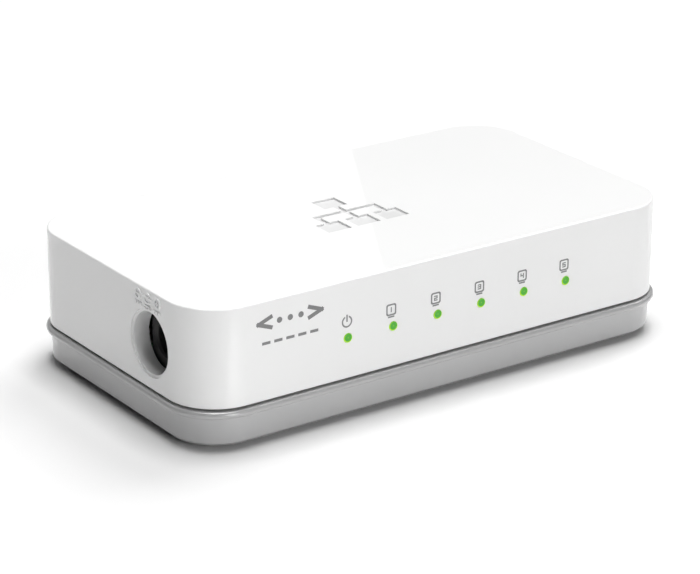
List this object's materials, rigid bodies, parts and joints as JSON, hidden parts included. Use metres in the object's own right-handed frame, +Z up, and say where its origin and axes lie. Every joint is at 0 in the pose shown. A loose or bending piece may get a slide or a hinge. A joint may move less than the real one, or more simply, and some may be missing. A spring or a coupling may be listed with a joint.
{
  "type": "desktop network switch",
  "caption": "Small desktop network switch: white box with rounded corners on a grey base, status lights in front, a row of network sockets behind and a round power inlet at the side.",
  "frame": {"origin": "middle of the footprint, on the surface that the rubber feet rest on", "axes": "+X to the right as seen from the front, +Y to the back where the sockets are, +Z up; the status lights face -Y and the power inlet faces -X"},
  "size_m": [0.1014, 0.0564, 0.025],
  "materials": {
    "cover_white": "satin moulded ABS, white",
    "ink_grey": "pad-printed ink, mid grey",
    "base_grey": "fine spark texture, light grey",
    "rubber_dark": "soft, matt",
    "screw_steel": "zinc plated",
    "label_silver": "blank film label",
    "board_green": "solder mask over glass laminate",
    "jack_black": "moulded nylon",
    "contact_gold": "gold-flashed spring wire",
    "pin_nickel": "nickel plated",
    "tinned_copper": "tinned",
    "guide_clear": "clear acrylic, lit green",
    "led_body": "clear resin, lit green",
    "chip_black": "moulded epoxy",
    "crystal_can": "drawn can",
    "ferrite": "sintered ferrite",
    "can_sleeve": "shrink sleeve",
    "ceramic_tan": "sintered ceramic"
  },
  "bodies": {
    "case": {"top_cover": "cover_white", "front_marks": "ink_grey", "bottom_base": "base_grey", "case_screws": "screw_steel", "rating_label": "label_silver", "foot_front_left": "rubber_dark", "foot_front_right": "rubber_dark", "foot_rear_left": "rubber_dark", "foot_rear_right": "rubber_dark", "circuit_board": "board_green", "board_screws": "screw_steel", "rj45_housing": "jack_black", "rj45_solder_pins": "tinned_copper", "dc_jack_housing": "jack_black", "dc_centre_pin": "pin_nickel", "dc_solder_tabs": "tinned_copper", "light_guide": "guide_clear", "status_led_power": "led_body", "transformer_leads": "tinned_copper", "switch_chip": "chip_black", "switch_chip_leads": "tinned_copper", "crystal": "crystal_can", "crystal_leads": "tinned_copper", "power_inductor": "ferrite", "regulator_chip": "chip_black", "protection_diode": "chip_black", "input_capacitor": "can_sleeve", "output_capacitor": "can_sleeve", "chip_resistors": "chip_black", "chip_capacitors": "ceramic_tan", "status_led_1": "led_body", "lan_transformer_1": "chip_black", "status_led_2": "led_body", "lan_transformer_2": "chip_black", "status_led_3": "led_body", "lan_transformer_3": "chip_black", "status_led_4": "led_body", "lan_transformer_4": "chip_black", "status_led_5": "led_body", "lan_transformer_5": "chip_black"},
    "port_1_spring": {"port_1_contacts": "contact_gold"},
    "port_2_spring": {"port_2_contacts": "contact_gold"},
    "port_3_spring": {"port_3_contacts": "contact_gold"},
    "port_4_spring": {"port_4_contacts": "contact_gold"},
    "port_5_spring": {"port_5_contacts": "contact_gold"},
    "inlet_spring": {"dc_spring_contact": "pin_nickel"}
  },
  "joints": [
    {"name": "port_1_flex", "type": "hinge", "parent": "case", "child": "port_1_spring", "pos_m": [-0.028, 0.0252, 0.0196], "axis": [-1, 0, 0], "range_deg": [0, 12], "stiffness_Nm_per_rad": 0.25},
    {"name": "port_2_flex", "type": "hinge", "parent": "case", "child": "port_2_spring", "pos_m": [-0.014, 0.0252, 0.0196], "axis": [-1, 0, 0], "range_deg": [0, 12], "stiffness_Nm_per_rad": 0.25},
    {"name": "port_3_flex", "type": "hinge", "parent": "case", "child": "port_3_spring", "pos_m": [0, 0.0252, 0.0196], "axis": [-1, 0, 0], "range_deg": [0, 12], "stiffness_Nm_per_rad": 0.25},
    {"name": "port_4_flex", "type": "hinge", "parent": "case", "child": "port_4_spring", "pos_m": [0.014, 0.0252, 0.0196], "axis": [-1, 0, 0], "range_deg": [0, 12], "stiffness_Nm_per_rad": 0.25},
    {"name": "port_5_flex", "type": "hinge", "parent": "case", "child": "port_5_spring", "pos_m": [0.028, 0.0252, 0.0196], "axis": [-1, 0, 0], "range_deg": [0, 12], "stiffness_Nm_per_rad": 0.25},
    {"name": "inlet_flex", "type": "hinge", "parent": "case", "child": "inlet_spring", "pos_m": [-0.0352, -0.0125, 0.01195], "axis": [0, -1, 0], "range_deg": [0, 3.5], "stiffness_Nm_per_rad": 0.4}
  ]
}
